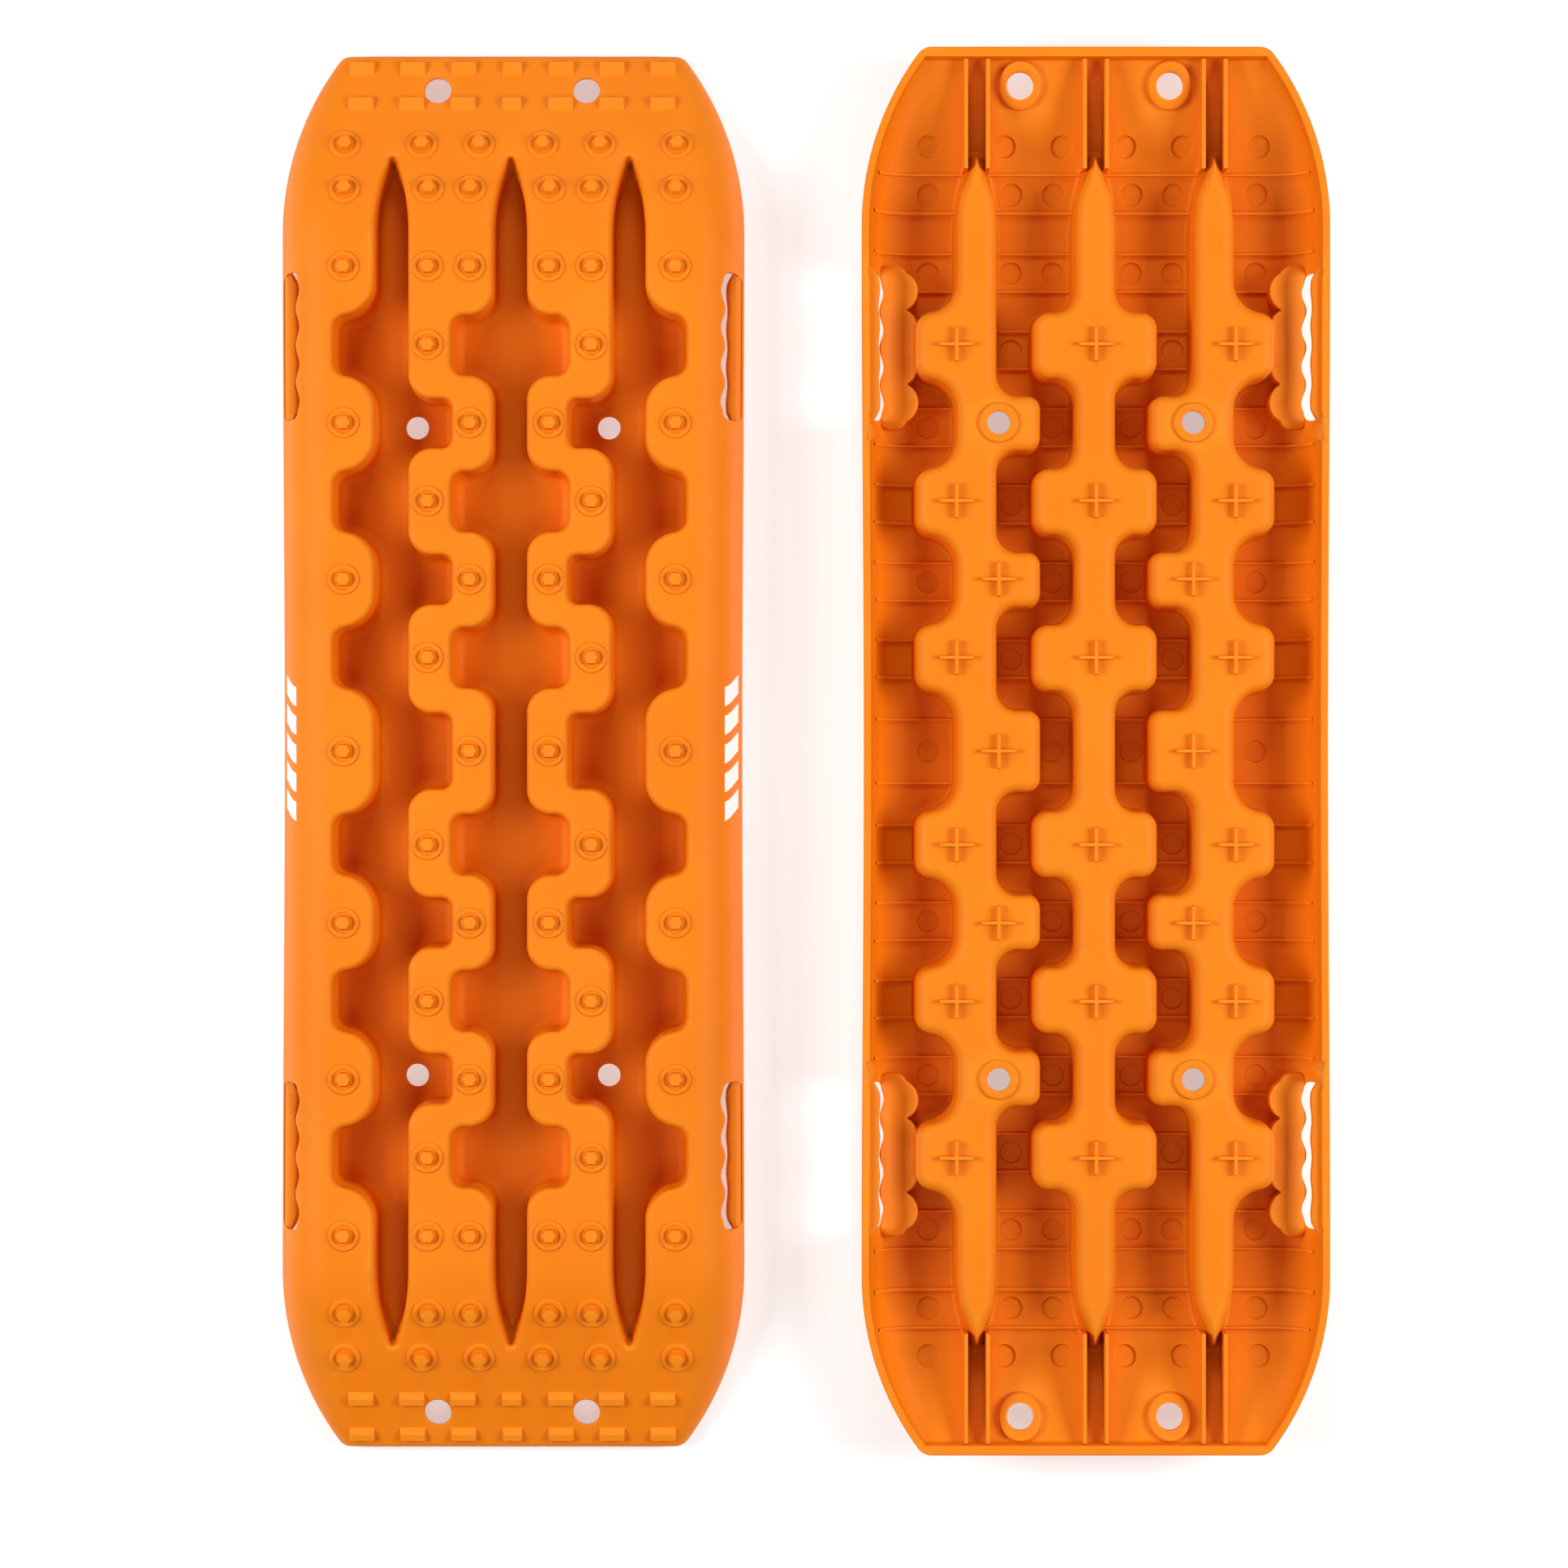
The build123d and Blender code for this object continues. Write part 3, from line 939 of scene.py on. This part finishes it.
def cross_rib_forms():
    """The thin ribs across the underside, from wall to wall, in the quarter."""
    rows = [y + d for y in ROWS[1:8] for d in (-RIB_OFFSET, RIB_OFFSET)]
    forms = []
    for y in rows + [MIDDLE_RIB_Y, LAST_RIB_Y]:
        xs = np.arange(0.0, HALF_W, 1.0)
        ys = np.full(len(xs), y)
        inset = side_inset(xs, ys)
        open_here = (
            (channel(xs, ys) > RIB_TO_CHANNEL) & (inset > RIB_TO_SIDE) & (grip(xs, ys) > RIB_TO_GRIP)
        )
        run = []
        for k in range(len(xs) + 1):
            if k < len(xs) and open_here[k]:
                run.append(k)
                continue
            if len(run) > 3:
                curved = [j for j in run[1:-1] if inset[j] < SHOULDER_ROUND + 10 and j % 3 == 0]
                rings = []
                for j in [run[0]] + curved + [run[-1]]:
                    skin_z = float(body(xs[j], y, SKIN))
                    section = rib_section(y, RIB_HALF, skin_z - RIB_DEPTH, skin_z + RIB_SUNK)
                    rings.append([(xs[j], py, pz) for py, pz in section])
                forms.append(ring_solid(rings))
            run = []
    return forms


BOSS_SIDES = 36
BOSS_INSET = 0.04  # how far outside the hole's edge the boss starts
BOSS_PROFILE = (  # share of the way out, then height above the boss's low face, if on it
    (0.0, None), (0.0, 0.8), (0.14, 0.2), (0.32, 0.0),
    (0.7, 0.0), (0.9, 0.5), (1.0, 1.4), (1.02, None),
)
END_BOSS = (14.1, 15.4)  # half sizes in x and y
END_BOSS_DEPTH = 5.0  # below the skin
END_BOSS_SUNK = 1.5  # how far its root lies inside the skin
FLOOR_BOSS = (13.0, 13.0)
FLOOR_BOSS_DEPTH = 2.8
FLOOR_BOSS_SUNK = 1.8


def boss_form(hole, outer, low, high):
    """A ring-shaped boss round a hole, between two heights given over the plan."""
    start = hole[2] + BOSS_INSET
    sections = []
    for k in range(BOSS_SIDES):
        turn = 2 * pi * k / BOSS_SIDES
        section = []
        for reach, lift in BOSS_PROFILE:
            x = hole[0] + (start + (outer[0] - hole[2]) * reach) * cos(turn)
            y = hole[1] + (start + (outer[1] - hole[2]) * reach) * sin(turn)
            z = high(x, y) if lift is None else low(x, y) + lift
            section.append((x, y, float(z)))
        sections.append(np.array(section))
    return loop_solid(sections)


def side_x(inset, y):
    """x at an inset from the long side's outline, away from the tapered ends."""
    return HALF_W - inset - WAIST * (0.5 + 0.5 * cos(pi * y / (HALF_L - SHOULDER_BACK)))


BAR_PROFILE = (  # inset and height across the bar below a hand grip
    (1.2, KEEL_Z + 0.02), (4.9, KEEL_Z + 0.02), (5.5, 5.7), (5.8, 8.2), (9.4, 8.4),
    (11.0, 9.2), (11.5, 10.6), (11.5, 15.4), (10.8, 17.4), (9.0, 18.7), (5.6, 18.7),
    (3.9, 17.6), (3.1, 15.9), (2.1, 12.2), (1.2, 10.4),
)
BAR_OVERLAP = 3.5  # how far the bar runs past the opening's ends
BAR_TAPER = 9.0  # length over which its ends thin out into the wall
BAR_END = 0.3  # share of the full section left at the ends
BAR_SECTIONS = 37
BAR_WAVE = 0.45
BAR_WAVE_FROM = 6.0  # inset from which the finger waves begin
BAR_WAVE_RUN = 5.0


def bar_form():
    """The bar that the fingers close round, below the +X, +Y hand grip."""
    rings = []
    for k in range(BAR_SECTIONS):
        along = sin((k / (BAR_SECTIONS - 1) - 0.5) * pi) * (GRIP_HALF + BAR_OVERLAP)
        y = GRIP_Y + along
        wave = BAR_WAVE * cos(2 * pi * (along / FINGER_PITCH + 0.5))
        from_end = (GRIP_HALF + BAR_OVERLAP - abs(along)) / BAR_TAPER
        full = BAR_END + (1 - BAR_END) * sqrt(min(1.0, from_end))
        ring = []
        for inset, z in BAR_PROFILE:
            bend = wave * max(0.0, (inset - BAR_WAVE_FROM) / BAR_WAVE_RUN)
            across = BAR_PROFILE[0][0] + (inset + bend - BAR_PROFILE[0][0]) * full
            ring.append((side_x(across, y), y, z))
        rings.append(ring)
    return ring_solid(rings)


INSIDE_WALL = 1.6  # how far from a channel's edge a form ends inside its wall
# The flange's parts: from inset to inset, middle, half length and corner.
FLANGE_PLATE = (GRIP_HIGH - 3.0, 30.0, 0.0, GRIP_HALF + 5.5, 8.0)
FLANGE_WEB = (20.0, 38.0, 0.0, 7.0, 2.0)
FLANGE_TO_GRIP = 0.15
FLANGE_LOBE = 13.4
FLANGE_LOBE_INSET = 24.0
FLANGE_EDGE = 1.8  # rounding of its free edge
FLANGE_TOP_Z = 37.0
FLANGE_SLOPE = 0.48
FLANGE_GROOVE = 1.3
FLANGE_SUNK = 1.2  # how far its root lies inside the skin
FINGERS = 4


def flange_region(x, y):
    """Distance outside the finger flange behind a hand grip, in plan."""
    inset = side_inset(x, y)
    along = np.abs(y) - GRIP_Y
    plate = lobe(inset, along, *FLANGE_PLATE)
    for k in range(FINGERS):
        centre = (k - (FINGERS - 1) / 2) * FINGER_PITCH
        round_end = np.hypot(inset - FLANGE_LOBE_INSET, along - centre) - FLANGE_LOBE
        plate = np.minimum(plate, round_end)
    plate = np.minimum(plate, lobe(inset, along, *FLANGE_WEB))
    plate = np.maximum(plate, INSIDE_WALL - channel(x, y))
    return np.maximum(plate, FLANGE_TO_GRIP - grip(x, y))


def flange_low(x, y):
    """Height of the flange's underside: it falls inwards, with a groove per finger."""
    inset = side_inset(x, y)
    along = np.abs(y) - GRIP_Y
    groove = FLANGE_GROOVE * (0.5 + 0.5 * np.cos(2 * pi * (along / FINGER_PITCH + 0.5)))
    fall = FLANGE_TOP_Z - FLANGE_SLOPE * (inset - GRIP_HIGH)
    return fall + groove + quarter_fall(-flange_region(x, y), FLANGE_EDGE)


def flange_high(x, y):
    """Height at which the flange ends inside the skin."""
    return body(x, y, SKIN) + FLANGE_SUNK


def flange_parts():
    """The finger flange of the +X, +Y hand grip, as a closed form with normals."""
    def outside(x, y):
        return flange_region(x, y) > 0

    region = flange_region(MESH_X, MESH_Y)
    lines = []
    for level in (0.0, -0.5, -FLANGE_EDGE):
        lines += level_lines(region, level)
    for inset in (18.0, 24.0, 30.0):
        lines += without(
            level_lines(side_inset(MESH_X, MESH_Y), inset),
            lambda x, y: flange_region(x, y) > -2.0,
        )
    low = sheet(lines, outside, flange_low, -1)
    high = sheet(lines, outside, flange_high, 1)
    return [low, high, cut_wall(high[0], high[1], flange_low)]


def build_mat():
    """One whole mat: corners, faces and a normal at each face's corner."""
    builder = Builder()
    for part in skin_quarter() + flange_parts():
        add_four(builder, *part)
    verts, faces, normals = builder.merged()
    whole = Builder()
    whole.add(verts, faces, normals)
    quarter = []
    stud = stud_form()
    for x, y in stud_places():
        quarter.append(placed(stud, x, y, float(deck(y)), ramp_lean(y)))
    for back in CLEAT_BACK:
        y = HALF_L - back
        for x, half in zip(CLEAT_X, CLEAT_HALF):
            quarter.append(placed(cleat_form(half), x, y, float(deck(y)), ramp_lean(y)))
    bar = cross_bar_form()
    crosses = [(0.0, y) for y in POCKET_ROWS] + [(CROSS_OUT_X, y) for y in POCKET_ROWS]
    crosses += [(CROSS_IN_X, y) for y in LAND_ROWS[:2]]
    for x, y in crosses:
        quarter += [placed(bar, x, y, 0.0), placed(bar, x, y, CROSS_STAGGER, turn=pi / 2)]
    quarter += end_rib_forms() + cross_rib_forms() + [bar_form()]
    quarter.append(boss_form(
        END_HOLE, END_BOSS,
        lambda x, y: body(x, y, SKIN) - END_BOSS_DEPTH,
        lambda x, y: body(x, y, SKIN) + END_BOSS_SUNK,
    ))
    quarter.append(boss_form(
        FLOOR_HOLE, FLOOR_BOSS,
        lambda x, y: KEEL_Z - FLOOR_BOSS_DEPTH, lambda x, y: KEEL_Z + FLOOR_BOSS_SUNK,
    ))
    for form_verts, form_faces in quarter:
        form_faces = outward(form_verts - form_verts.mean(axis=0), form_faces)
        form_normals = crease_normals(form_verts, form_faces)
        on_x_axis = abs(form_verts[:, 0].mean()) < 1e-6
        on_y_axis = abs(form_verts[:, 1].mean()) < 1e-6
        for flip_x in (1,) if on_x_axis else (1, -1):
            for flip_y in (1,) if on_y_axis else (1, -1):
                flip = np.array([flip_x, flip_y, 1])
                turn = 1 if flip_x * flip_y > 0 else -1
                whole.add(
                    form_verts * flip, form_faces[:, ::turn], form_normals[:, ::turn] * flip
                )
    verts = np.concatenate(whole.verts)
    faces = np.concatenate(whole.faces)
    return verts, faces, np.concatenate(whole.normals)


def mat_object(name, shape, centre_x, face_down):
    """A mat as an object, at its place in the frame."""
    verts, faces, normals = shape
    if face_down:
        spin = np.array([-1, 1, -1])
        verts = verts * spin + np.array([0, 0, TOP_Z])
        normals = normals * spin
    verts = verts * MM + np.array([centre_x, 0, 0])
    mesh = bpy.data.meshes.new(name)
    mesh.from_pydata(verts.tolist(), [], faces.tolist())
    mesh.shade_smooth()
    mesh.normals_split_custom_set(normals.reshape(-1, 3).tolist())
    mesh.update()
    mat = bpy.data.objects.new(name, mesh)
    bpy.context.collection.objects.link(mat)
    return mat


# Materials.


def new_material(name):
    """A material with an empty node tree but for the shader and the output."""
    material = bpy.data.materials.new(name)
    material.use_nodes = True
    tree = material.node_tree
    return material, tree, tree.nodes["Principled BSDF"]


MARK_COUNT = 5
MARK_LENGTH = 0.094
MARK_Y = 0.0056
MARK_HEIGHTS = (0.016, 0.041)
MARK_SLANT = 0.35
MARK_BAR_SHARE = 0.66  # of the pitch that a bar fills
MARK_WALL = 14.0  # the side wall's depth in plan, in millimetres


def math_node(tree, operation, first, second):
    """A maths node on two inputs, each a socket or a number."""
    node = tree.nodes.new("ShaderNodeMath")
    node.operation = operation
    for socket, value in zip(node.inputs, (first, second)):
        if isinstance(value, float):
            socket.default_value = value
        else:
            tree.links.new(value, socket)
    return node.outputs[0]


def side_mark(tree, place, normal, centre_x):
    """1 on a plain row of slanted bars printed on both long sides, else 0."""
    point = tree.nodes.new("ShaderNodeSeparateXYZ")
    tree.links.new(place, point.inputs[0])
    facing = tree.nodes.new("ShaderNodeSeparateXYZ")
    tree.links.new(normal, facing.inputs[0])
    side = math_node(tree, "SUBTRACT", point.outputs["X"], centre_x)
    outwards = math_node(tree, "MULTIPLY", math_node(tree, "SIGN", side, 0.0), facing.outputs["X"])
    on_side = math_node(tree, "GREATER_THAN", outwards, 0.5)
    far_out = math_node(
        tree, "GREATER_THAN", math_node(tree, "ABSOLUTE", side, 0.0), (HALF_W - MARK_WALL) * MM
    )
    above = math_node(tree, "GREATER_THAN", point.outputs["Z"], MARK_HEIGHTS[0])
    below = math_node(tree, "LESS_THAN", point.outputs["Z"], MARK_HEIGHTS[1])
    lean = math_node(tree, "MULTIPLY", point.outputs["Z"], MARK_SLANT)
    along = math_node(tree, "ADD", point.outputs["Y"], lean)
    start = MARK_Y - MARK_LENGTH / 2 + MARK_SLANT * sum(MARK_HEIGHTS) / 2
    along = math_node(tree, "DIVIDE", math_node(tree, "SUBTRACT", along, start), MARK_LENGTH)
    inside = math_node(tree, "COMPARE", along, 0.5)
    inside.node.inputs[2].default_value = 0.5
    beat = math_node(tree, "FRACT", math_node(tree, "MULTIPLY", along, float(MARK_COUNT)), 0.0)
    bar = math_node(tree, "LESS_THAN", beat, MARK_BAR_SHARE)
    mask = on_side
    for part in (far_out, above, below, inside, bar):
        mask = math_node(tree, "MULTIPLY", mask, part)
    return mask


def orange_plastic(name, mark_centre_x):
    """Satin moulded plastic: a fine grain, faint mottling, and sharp convex edges made a lighter
    orange. The mark is printed on when the mat's centre x is given for it."""
    material, tree, shader = new_material(name)
    nodes, links = tree.nodes, tree.links
    coordinates = nodes.new("ShaderNodeTexCoord")
    place = coordinates.outputs["Object"]

    mottle = nodes.new("ShaderNodeTexNoise")
    mottle.inputs["Scale"].default_value = 9.0
    mottle.inputs["Detail"].default_value = 3.0
    links.new(place, mottle.inputs["Vector"])
    tint = nodes.new("ShaderNodeValToRGB")
    tint.color_ramp.elements[0].position = 0.3
    tint.color_ramp.elements[0].color = (0.77, 0.180, 0.002, 1)
    tint.color_ramp.elements[1].position = 0.7
    tint.color_ramp.elements[1].color = (0.81, 0.204, 0.003, 1)
    links.new(mottle.outputs["Fac"], tint.inputs["Fac"])

    # Sharp convex edges, found by pointiness, are mixed towards a lighter orange in the base colour.
    edges = nodes.new("ShaderNodeNewGeometry").outputs["Pointiness"]
    edge_lightening = nodes.new("ShaderNodeMapRange")
    edge_lightening.inputs["From Min"].default_value = 0.505
    edge_lightening.inputs["From Max"].default_value = 0.56
    edge_lightening.inputs["To Max"].default_value = 0.35
    links.new(edges, edge_lightening.inputs["Value"])
    edges_lightened = nodes.new("ShaderNodeMix")
    edges_lightened.data_type = "RGBA"
    edges_lightened.inputs[7].default_value = (0.90, 0.30, 0.02, 1)
    links.new(edge_lightening.outputs["Result"], edges_lightened.inputs[0])
    links.new(tint.outputs["Color"], edges_lightened.inputs[6])
    colour = edges_lightened.outputs[2]
    if mark_centre_x is not None:
        printed = nodes.new("ShaderNodeMix")
        printed.data_type = "RGBA"
        printed.inputs[7].default_value = (0.90, 0.90, 0.89, 1)
        mask = side_mark(tree, place, coordinates.outputs["Normal"], mark_centre_x)
        links.new(mask, printed.inputs[0])
        links.new(colour, printed.inputs[6])
        colour = printed.outputs[2]
    links.new(colour, shader.inputs["Base Color"])

    grain = nodes.new("ShaderNodeTexNoise")
    grain.inputs["Scale"].default_value = 700.0
    grain.inputs["Detail"].default_value = 2.0
    links.new(place, grain.inputs["Vector"])
    gloss = nodes.new("ShaderNodeMapRange")
    gloss.inputs["To Min"].default_value = 0.48
    gloss.inputs["To Max"].default_value = 0.60
    links.new(grain.outputs["Fac"], gloss.inputs["Value"])
    links.new(gloss.outputs["Result"], shader.inputs["Roughness"])
    bump = nodes.new("ShaderNodeBump")
    bump.inputs["Strength"].default_value = 0.12
    bump.inputs["Distance"].default_value = 0.0002
    links.new(grain.outputs["Fac"], bump.inputs["Height"])
    links.new(bump.outputs["Normal"], shader.inputs["Normal"])
    shader.inputs["IOR"].default_value = 1.42
    shader.inputs["Specular IOR Level"].default_value = 0.2
    return material


def floor_material():
    """A plain pale floor, faintly lit from inside as a light table is."""
    material, _, shader = new_material("pale_floor")
    shader.inputs["Emission Color"].default_value = (1, 1, 1, 1)
    shader.inputs["Emission Strength"].default_value = FLOOR_GLOW
    shader.inputs["Base Color"].default_value = (0.64, 0.64, 0.644, 1)
    shader.inputs["Roughness"].default_value = 0.85
    shader.inputs["Specular IOR Level"].default_value = 0.1
    return material


# Stage.

VIEW_DISTANCE = 3.2
PICTURE_WIDTH = 1.0415
VIEW_OFFSET = (-0.0122, -0.0215)
LIGHTS = (  # name, place, size, power
    ("right_light", (1.98, 0.05, 1.7), 1.1, 50.0),
    ("left_light", (-1.98, 0.05, 1.7), 1.1, 50.0),
    ("end_light", (0.0, 1.9, 1.7), 0.6, 12.0),
    ("top_light", (0.0, -1.0, 2.2), 0.8, 6.0),
)
SKY_STRENGTH = 0.14
FLOOR_GLOW = 0.45
FLOOR_REACH = 12.0
FLOOR_GAP = 0.0005  # below the mats, so that no faces coincide


def add_camera():
    """A long lens straight above the pair."""
    data = bpy.data.cameras.new("camera")
    data.sensor_width = 36.0
    data.lens = data.sensor_width * VIEW_DISTANCE / PICTURE_WIDTH
    data.clip_start, data.clip_end = 0.1, 100.0
    camera = bpy.data.objects.new("camera", data)
    camera.location = (*VIEW_OFFSET, VIEW_DISTANCE)
    bpy.context.collection.objects.link(camera)
    bpy.context.scene.camera = camera


def add_area_light(name, location, size, power):
    """A square soft light aimed at the middle of the pair."""
    data = bpy.data.lights.new(name, "AREA")
    data.size = size
    data.energy = power
    light = bpy.data.objects.new(name, data)
    light.location = location
    light.rotation_euler = (-Vector(location)).to_track_quat("-Z", "Y").to_euler()
    bpy.context.collection.objects.link(light)


def add_stage():
    """The floor, the lights and the surrounding light."""
    mesh = bpy.data.meshes.new("floor")
    r = FLOOR_REACH
    mesh.from_pydata([(-r, -r, 0), (r, -r, 0), (r, r, 0), (-r, r, 0)], [], [(0, 1, 2, 3)])
    mesh.materials.append(floor_material())
    floor = bpy.data.objects.new("floor", mesh)
    floor.location.z = down_low[2] - FLOOR_GAP
    bpy.context.collection.objects.link(floor)
    world = bpy.data.worlds.new("studio")
    world.use_nodes = True
    sky = world.node_tree.nodes["Background"]
    sky.inputs["Color"].default_value = (1, 1, 1, 1)
    sky.inputs["Strength"].default_value = SKY_STRENGTH
    bpy.context.scene.world = world
    for light in LIGHTS:
        add_area_light(*light)


shape = build_mat()
for node, body_name, slot, low, high, face_down in (
    (UP_NODE, UP_BODY, "orange_plastic_up", up_low, up_high, False),
    (DOWN_NODE, DOWN_BODY, "orange_plastic_down", down_low, down_high, True),
):
    centre_x = (low[0] + high[0]) / 2
    piece = mat_object(node + "_moulding", shape, centre_x, face_down)
    piece.data.materials.append(orange_plastic(slot, None if face_down else centre_x))
    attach(piece, body_name)
    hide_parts(node)

add_camera()
add_stage()
bpy.context.scene.view_settings.view_transform = "Standard"
